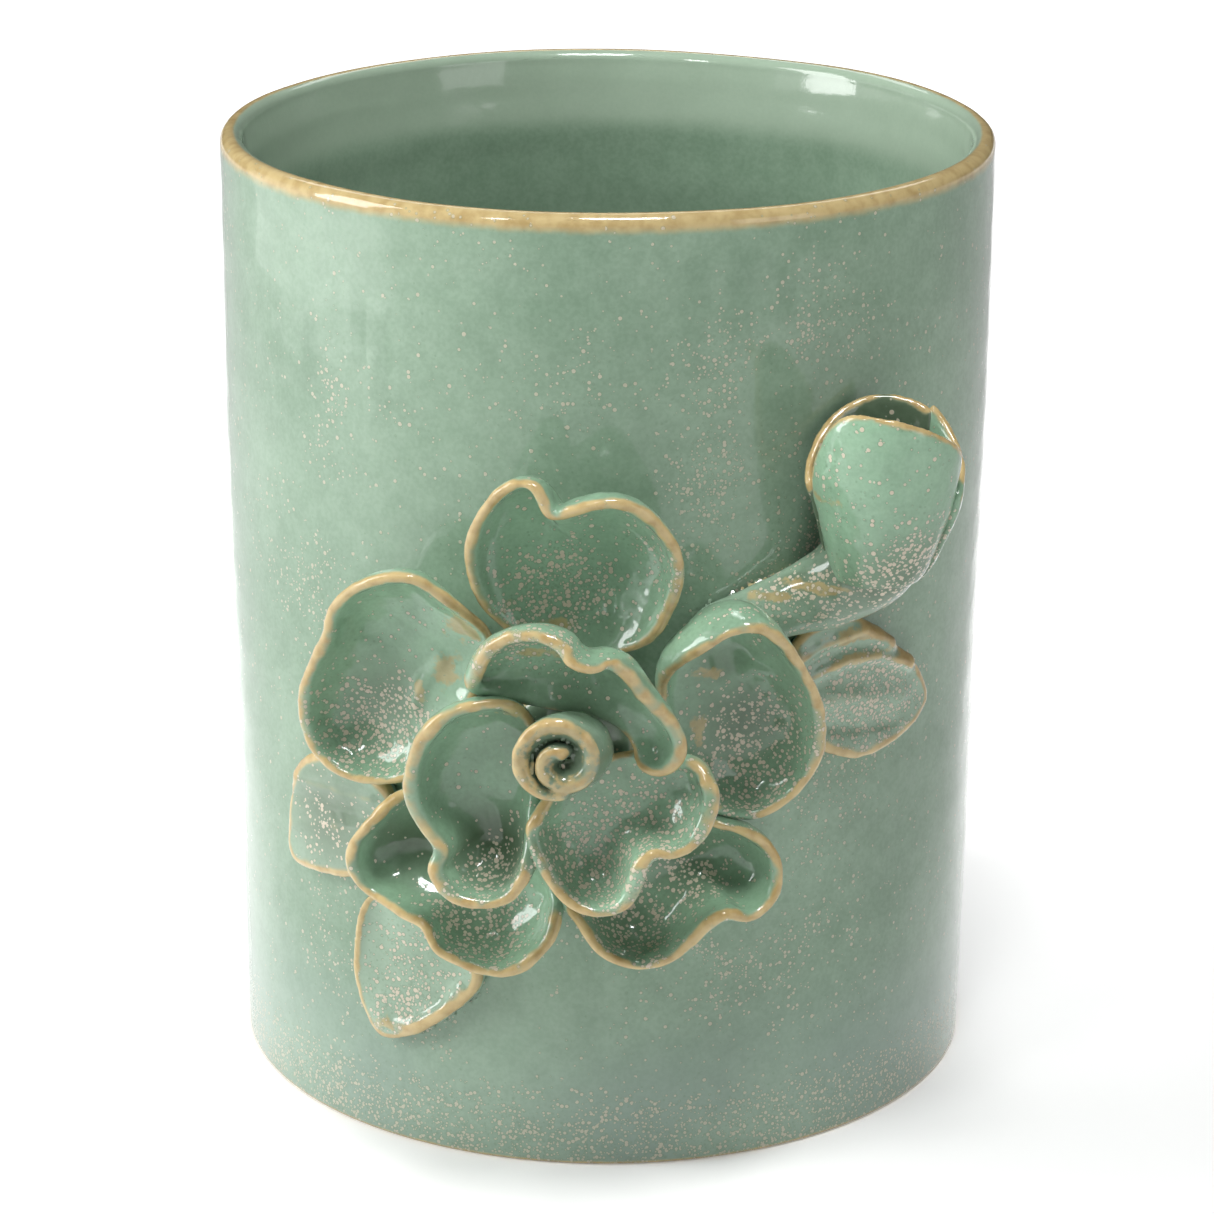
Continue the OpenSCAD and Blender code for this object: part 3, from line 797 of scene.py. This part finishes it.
def glaze_material(name, tone, pale=CELADON_PALE):
    """Celadon glaze on the flower. tone runs from pale (0) to deep (1)."""
    material, tree, shader, place = new_material(name)
    ridge, joint = attribute(tree, "ridge"), attribute(tree, "joint")
    hollow, patch = attribute(tree, "hollow"), attribute(tree, "patch")

    clouds = grain(tree, place, 14, 3.0)
    mottle = grain(tree, place, 2.2, 4.0, 0.6)
    fine = grain(tree, place, 0.45, 2.0)
    shade = ramp(tree, clouds, 0.3, 0.7, tone - 0.15, tone + 0.15)
    shade = calc(tree, "ADD", shade, ramp(tree, mottle, 0.3, 0.7, -0.07, 0.07))
    shade = calc(tree, "ADD", shade, ramp(tree, fine, 0.3, 0.7, -0.07, 0.07), clamp=True)
    colour = blend_colour(tree, shade, pale, CELADON_DEEP)
    colour = blend_colour(tree, calc(tree, "MULTIPLY", hollow, 0.3), colour, CELADON_DEEP)
    # Pooled glaze and painted shade, both laid in with the dark pool colour.
    pool_and_shade = calc(tree, "MULTIPLY", attribute(tree, "pool_and_shade"), 0.8)
    colour = blend_colour(tree, pool_and_shade, colour, CELADON_POOL_AND_SHADE)
    colour = blend_colour(tree, calc(tree, "MULTIPLY", joint, 0.8), colour, CELADON_POOL_AND_SHADE)

    wander = ramp(tree, mottle, 0.3, 0.7, -0.07, 0.07)
    fringe = ramp(tree, ridge, 0.0, 0.3, 0.0, 0.6)
    colour = blend_colour(tree, fringe, colour, FRINGE)
    edge = ramp(tree, calc(tree, "ADD", ridge, wander), 0.12, 0.6)
    broken = ramp(tree, calc(tree, "ADD", patch, calc(tree, "MULTIPLY", wander, 4.0)), 0.3, 0.6)
    thin = calc(tree, "MAXIMUM", edge, calc(tree, "MULTIPLY", broken, 0.75))
    rust = rust_colour(tree, place)
    colour = blend_colour(tree, calc(tree, "MULTIPLY", thin, 0.88), colour, rust)

    patches = ramp(tree, grain(tree, place, 5, 2.0), 0.25, 0.5, 0.5, 1.2)
    density = calc(tree, "MULTIPLY", attribute(tree, "crystal"), patches)
    density = calc(tree, "MULTIPLY", density, ramp(tree, thin, 0.3, 1.0, 1.0, 0.0))
    colour, crystal = crystal_glaze(tree, place, colour, density, 0.88, size=1.16)
    finish_glaze(tree, shader, place, colour, crystal, thin)
    return material


def finish_glaze(tree, shader, place, colour, crystal, thin, relief=0.0):
    """The gloss and the surface's small waves, over a given colour."""
    tree.links.new(colour, shader.inputs["Base Color"])
    ripple = calc(tree, "MULTIPLY", grain(tree, place, 3.0, 1.0), 0.05)
    pores = calc(tree, "MULTIPLY", grain(tree, place, 0.35, 2.0), 0.006)
    raised = calc(tree, "MULTIPLY", crystal, 0.02)
    height = calc(tree, "ADD", calc(tree, "ADD", ripple, pores), raised)
    height = calc(tree, "ADD", height, relief)
    bump = add(tree, "ShaderNodeBump", {"Height": height, "Distance": MM, "Strength": 1.0})
    tree.links.new(bump.outputs["Normal"], shader.inputs["Normal"])
    tree.links.new(bump.outputs["Normal"], shader.inputs["Coat Normal"])
    rough = scaled(tree, crystal, 0.25, 0.34)
    rough = calc(tree, "ADD", rough, calc(tree, "MULTIPLY", thin, 0.1))
    tree.links.new(rough, shader.inputs["Roughness"])
    shader.inputs["IOR"].default_value = 1.45
    shader.inputs["Specular IOR Level"].default_value = 0.1
    shader.inputs["Coat Weight"].default_value = 1.0
    shader.inputs["Coat Roughness"].default_value = 0.06
    shader.inputs["Coat IOR"].default_value = 1.5


# Drops of glaze that ran down from the rim: (around, top, bottom, half width).
RUNS = [
    (-34, 92, 84, 2.0),
    (-27, 94, 87, 1.6),
    (-24, 92, 81, 1.9),
    (9.5, 99, 88, 2.2),
    (14.5, 100, 90, 2.0),
    (19.5, 99, 93, 1.7),
]


def glaze_runs(tree, split, up):
    """1 on the drops that ran down the outside, 0 elsewhere."""
    back = calc(tree, "MULTIPLY", split.outputs["Y"], -1.0)
    around = calc(tree, "MULTIPLY", calc(tree, "ARCTAN2", split.outputs["X"], back), POT_R)
    total = 0.0
    for middle, top, bottom, half_width in RUNS:
        away = calc(tree, "ABSOLUTE", calc(tree, "SUBTRACT", around, middle))
        across = ramp(tree, away, half_width * 0.3, half_width, 1.0, 0.0)
        low_end = ramp(tree, up, bottom, bottom + 1.6)
        high_end = ramp(tree, up, top + 4, top - 1, 0.0, 1.0)
        run = calc(tree, "MULTIPLY", across, calc(tree, "MULTIPLY", low_end, high_end))
        total = calc(tree, "MAXIMUM", total, run)
    return total


def pot_material():
    """The same glaze on the thrown wall: clouds, a hazy crystal band at the foot, amber rim."""
    material, tree, shader, place = new_material("glaze_pot_wall")
    split = add(tree, "ShaderNodeSeparateXYZ", {"Vector": place})
    up = calc(tree, "DIVIDE", split.outputs["Z"], MM)
    ridge, joint = attribute(tree, "ridge"), attribute(tree, "joint")
    hollow, inside = attribute(tree, "hollow"), attribute(tree, "inside")

    clouds = grain(tree, place, 22, 3.0)
    mottle = grain(tree, place, 2.6, 4.0, 0.6)
    fine = grain(tree, place, 0.5, 2.0)
    runs = glaze_runs(tree, split, up)
    shade = ramp(tree, clouds, 0.3, 0.72, 0.46, 0.76)
    shade = calc(tree, "ADD", shade, ramp(tree, mottle, 0.3, 0.7, -0.08, 0.08))
    shade = calc(tree, "ADD", shade, ramp(tree, fine, 0.35, 0.65, -0.06, 0.06))
    shade = calc(tree, "ADD", shade, calc(tree, "MULTIPLY", runs, 0.14))
    # Painted light: the inside of the well is laid in paler, for the light that falls in.
    shade = calc(tree, "ADD", shade, calc(tree, "MULTIPLY", inside, -0.16), clamp=True)
    colour = blend_colour(tree, shade, CELADON_PALE, CELADON_DEEP)
    # Painted reflection: the flared lip inside is laid in paler, for the bright room seen in it.
    painted_lip_sheen = calc(tree, "MULTIPLY", ramp(tree, up, POT_H - LIP_H, POT_H - LIP_H + 3), inside)
    colour = blend_colour(tree, calc(tree, "MULTIPLY", painted_lip_sheen, 0.6), colour, LIP_PAINTED_SHEEN)
    outside = calc(tree, "SUBTRACT", 1.0, inside)
    haze = calc(tree, "MULTIPLY", ramp(tree, up, 24, 5), ramp(tree, clouds, 0.3, 0.7, 0.3, 0.85))
    haze = calc(tree, "MULTIPLY", haze, outside)
    colour = blend_colour(tree, calc(tree, "MULTIPLY", haze, 0.6), colour, BLUE_HAZE)
    colour = blend_colour(tree, calc(tree, "MULTIPLY", hollow, 0.4), colour, CELADON_DEEP)
    colour = blend_colour(tree, calc(tree, "MULTIPLY", joint, 0.8), colour, CELADON_POOL_AND_SHADE)

    wander = ramp(tree, mottle, 0.3, 0.7, -0.06, 0.06)
    thin = ramp(tree, calc(tree, "ADD", ridge, wander), 0.1, 0.75)
    rust = rust_colour(tree, place)
    colour = blend_colour(tree, calc(tree, "MULTIPLY", thin, 0.85), colour, rust)

    patches = ramp(tree, grain(tree, place, 7, 2.0), 0.36, 0.62, 0.15, 1.0)
    density = calc(tree, "MULTIPLY", attribute(tree, "crystal"), patches)
    foot = calc(tree, "MULTIPLY", ramp(tree, up, 11, 4), ramp(tree, mottle, 0.3, 0.6, 0.4, 1.0))
    density = calc(tree, "MAXIMUM", density, calc(tree, "MULTIPLY", foot, 0.8))
    density = calc(tree, "MULTIPLY", density, outside)
    colour, crystal = crystal_glaze(tree, place, colour, density, 0.62)
    finish_glaze(tree, shader, place, colour, crystal, thin, calc(tree, "MULTIPLY", runs, 0.05))
    return material


def clay_material():
    """The unglazed foot ring: matt, buff, a little gritty."""
    material, tree, shader, place = new_material("bare_stoneware")
    patches = ramp(tree, grain(tree, place, 1.5, 4.0), 0.3, 0.7)
    colour = blend_colour(tree, patches, BARE_CLAY, BARE_CLAY_DARK)
    tree.links.new(colour, shader.inputs["Base Color"])
    grit = calc(tree, "MULTIPLY", grain(tree, place, 0.3, 3.0), 0.05)
    bump = add(tree, "ShaderNodeBump", {"Height": grit, "Distance": MM, "Strength": 1.0})
    tree.links.new(bump.outputs["Normal"], shader.inputs["Normal"])
    tree.links.new(ramp(tree, grit, 0.0, 0.05, 0.75, 0.9), shader.inputs["Roughness"])
    return material


# ---------------------------------------------------------------------------
# Building
# ---------------------------------------------------------------------------


def mark_pot(obj, tree, fine, wide):
    """Relief from the flower's joints, plus the rim, the foot's edge and the inside."""
    mark_relief(obj, tree, fine, wide, reach=1.2)
    points = read_points(obj.data)
    reach = np.hypot(points[:, 0], points[:, 1])
    up = points[:, 2]
    rim_line = smooth_step(reach, POT_R - 2, POT_R - 1.1)
    rim_line *= smooth_step(up, POT_H - 2, POT_H - 0.7)
    foot_line = smooth_step(-up, -0.8, -0.1) * (reach > FOOT_R - 1.5) * 0.8
    set_attribute(obj.data, "ridge", np.maximum(rim_line, foot_line))
    set_attribute(obj.data, "inside", (reach < POT_R - LIP_T * 0.6) * smooth_step(up, 4, 6))


def paint_foot(obj):
    """Leaves the ring that the pot stands on, and the recess inside it, unglazed."""
    mesh = obj.data
    mesh.materials.append(pot_material())
    mesh.materials.append(clay_material())
    for face in mesh.polygons:
        centre = face.center / MM
        reach = math.hypot(centre.x, centre.y)
        bare = centre.z < RECESS_H + 0.1 and reach < FOOT_R - 0.5
        face.material_index = 1 if bare else 0


def hand_over(obj, slot, *nodes):
    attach(obj, "root")
    if nodes:
        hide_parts(*nodes)


def build_object():
    pieces = {node: even_clay(node) for node in CLAY}
    for node, obj in pieces.items():
        work_by_hand(obj, node)
    union = build_union(pieces)
    points, normals, start, fine_points, fine, wide = relief_of(union)
    tree = KDTree(len(points))
    for i, p in enumerate(points):
        tree.insert(p, i)
    tree.balance()
    pooled = build_pooled_glaze(union, start, fine_points, normals)
    bpy.data.objects.remove(union)

    pot = build_pot()
    mark_pot(pot, tree, fine, wide)
    paint_foot(pot)
    mark_places(pot)
    hand_over(pot, "glaze_pot", "pot_body")

    materials = {
        "glaze_petal": glaze_material("glaze_petals", 0.3, PETAL_PALE),
        "glaze_leaf": glaze_material("glaze_leaves", 0.15),
        "glaze_deep": glaze_material("glaze_bud_and_joints", 0.4),
        "glaze_amber": glaze_material("glaze_coil", 0.5),
    }
    slots = {part["node"]: part["material_slot"] for part in frame["record"]["subparts"]}
    for node, obj in pieces.items():
        if node in LEAVES:
            mark_relief(obj, tree, fine, wide, LOW_EDGE, LOW_EDGE_BLUR)
        else:
            mark_relief(obj, tree, fine, wide)
        if node in BUD:
            fade_ridge(obj, BUD_JOINT, BUD_JOINT + 4)
        # Pieces that only show in the shade get painted shade all over.
        mark_places(obj, PAINTED_SHADE_PIECES.get(node, 0))
        obj.data.materials.append(materials[slots[node]])
        hand_over(obj, slots[node], node)
    mark_relief(pooled, tree, fine, wide)
    mark_places(pooled)
    pooled.data.materials.append(materials["glaze_deep"])
    hand_over(pooled, "glaze_deep")


# ---------------------------------------------------------------------------
# Studio
# ---------------------------------------------------------------------------


FLOOR_HALF = 3.0
FLOOR_PALE = (0.93, 0.93, 0.93, 1)
FLOOR_SHADE = (0.9, 0.9, 0.9, 1)
# The lit backdrop behind the pot: where it begins, its half width at the pot and how much
# wider it gets with each metre, its soft edge, and its strength.
BACKDROP_Y = (-0.08, 0.15)
BACKDROP_HALF = 0.065
BACKDROP_SPREAD = 0.146
BACKDROP_EDGE = 0.04
BACKDROP_GLOW = 0.65
# The floor's own glow near the pot and far from it, and between which distances it rises.
FLOOR_GLOW = (0.1, 0.75)
FLOOR_GLOW_RISE = (0.35, 1.1)


def build_floor():
    """A plain pale floor, a little lit from within so that it stays pale to the horizon."""
    mesh = bpy.data.meshes.new("studio_floor")
    half = FLOOR_HALF
    corners = [(-half, -half, 0), (half, -half, 0), (half, half, 0), (-half, half, 0)]
    mesh.from_pydata(corners, [], [(0, 1, 2, 3)])
    floor = new_object("studio_floor", mesh)
    material, tree, shader, place = new_material("pale_floor")
    shade = ramp(tree, grain(tree, place, 400, 1.0), 0.3, 0.7)
    colour = blend_colour(tree, shade, FLOOR_SHADE, FLOOR_PALE)
    tree.links.new(colour, shader.inputs["Base Color"])
    shader.inputs["Roughness"].default_value = 0.6
    shader.inputs["Emission Color"].default_value = (1, 1, 1, 1)
    split = add(tree, "ShaderNodeSeparateXYZ", {"Vector": place})
    behind = ramp(tree, split.outputs["Y"], *BACKDROP_Y)
    half_width = scaled(tree, split.outputs["Y"], BACKDROP_SPREAD, BACKDROP_HALF)
    beyond = calc(tree, "SUBTRACT", calc(tree, "ABSOLUTE", split.outputs["X"]), half_width)
    within = ramp(tree, beyond, 0.0, BACKDROP_EDGE, BACKDROP_GLOW, 0.0)
    backdrop = calc(tree, "MULTIPLY", behind, within)
    away = add(tree, "ShaderNodeVectorMath", {0: place}, operation="LENGTH").outputs["Value"]
    glow = calc(tree, "ADD", backdrop, ramp(tree, away, *FLOOR_GLOW_RISE, *FLOOR_GLOW))
    tree.links.new(glow, shader.inputs["Emission Strength"])
    mesh.materials.append(material)


POT_MIDDLE = (0, 0, 0.06)
# Each light is (name, position, target, size, power): a soft key on the left, a bright one
# high in front, a small window, fills, and one for the floor behind the pot.
LIGHTS = [
    ("softbox_left", (-0.5, -0.1, 0.27), POT_MIDDLE, (0.2, 0.4), 2.4),
    ("card_left", (-0.3, 0, 0.1), POT_MIDDLE, (0.36, 0.18), 0.16),
    ("softbox_top", (0.03, -0.2, 0.62), POT_MIDDLE, (0.15, 0.16), 2.7),
    ("window_front", (-0.24, -0.36, 0.44), POT_MIDDLE, (0.05, 0.11), 0.42),
    ("softbox_right", (0.3, -0.27, 0.15), POT_MIDDLE, (0.16, 0.22), 0.22),
    ("softbox_back", (0, 0.9, 0.9), (0, 0.7, 0), (1.2, 0.3), 3.0),
]


def area_light(name, position, target, size, power):
    data = bpy.data.lights.new(name, "AREA")
    data.shape = "RECTANGLE"
    data.size, data.size_y = size
    data.energy = power
    light = bpy.data.objects.new(name, data)
    aim = Vector(target) - Vector(position)
    turn = aim.to_track_quat("-Z", "Y").to_matrix().to_4x4()
    light.matrix_world = Matrix.Translation(position) @ turn
    bpy.context.scene.collection.objects.link(light)


def build_lights():
    """The lights, and a dim world that is brighter behind the pot than in front."""
    for light in LIGHTS:
        area_light(*light)
    world = bpy.data.worlds.new("studio")
    world.use_nodes = True
    tree = world.node_tree
    place = add(tree, "ShaderNodeTexCoord").outputs["Generated"]
    split = add(tree, "ShaderNodeSeparateXYZ", {"Vector": place})
    glow = ramp(tree, split.outputs["Y"], -0.3, 0.6, 0.06, 0.24)
    tree.links.new(glow, tree.nodes["Background"].inputs["Strength"])
    bpy.context.scene.world = world


# The photo's view: the camera's place, its turns in radians, and its lens in millimetres.
CAMERA_PLACE = (0.00822, -0.4473, 0.2047)
PITCH = 0.33334
YAW = -0.01796
ROLL = 0.00507
LENS = 123.05
SENSOR_WIDTH = 36


def build_camera():
    """The camera, at the view given above."""
    forward = Vector(
        (math.sin(YAW) * math.cos(PITCH), math.cos(YAW) * math.cos(PITCH), -math.sin(PITCH))
    )
    level = Vector((math.cos(YAW), -math.sin(YAW), 0))
    above = level.cross(forward)
    right = level * math.cos(ROLL) + above * math.sin(ROLL)
    top = above * math.cos(ROLL) - level * math.sin(ROLL)
    data = bpy.data.cameras.new("camera")
    data.lens = LENS
    data.sensor_width = SENSOR_WIDTH
    camera = bpy.data.objects.new("camera", data)
    turn = Matrix((right, top, -forward)).transposed().to_4x4()
    camera.matrix_world = Matrix.Translation(CAMERA_PLACE) @ turn
    bpy.context.scene.collection.objects.link(camera)
    bpy.context.scene.camera = camera


build_object()
build_floor()
build_lights()
build_camera()
bpy.context.scene.view_settings.view_transform = "Standard"
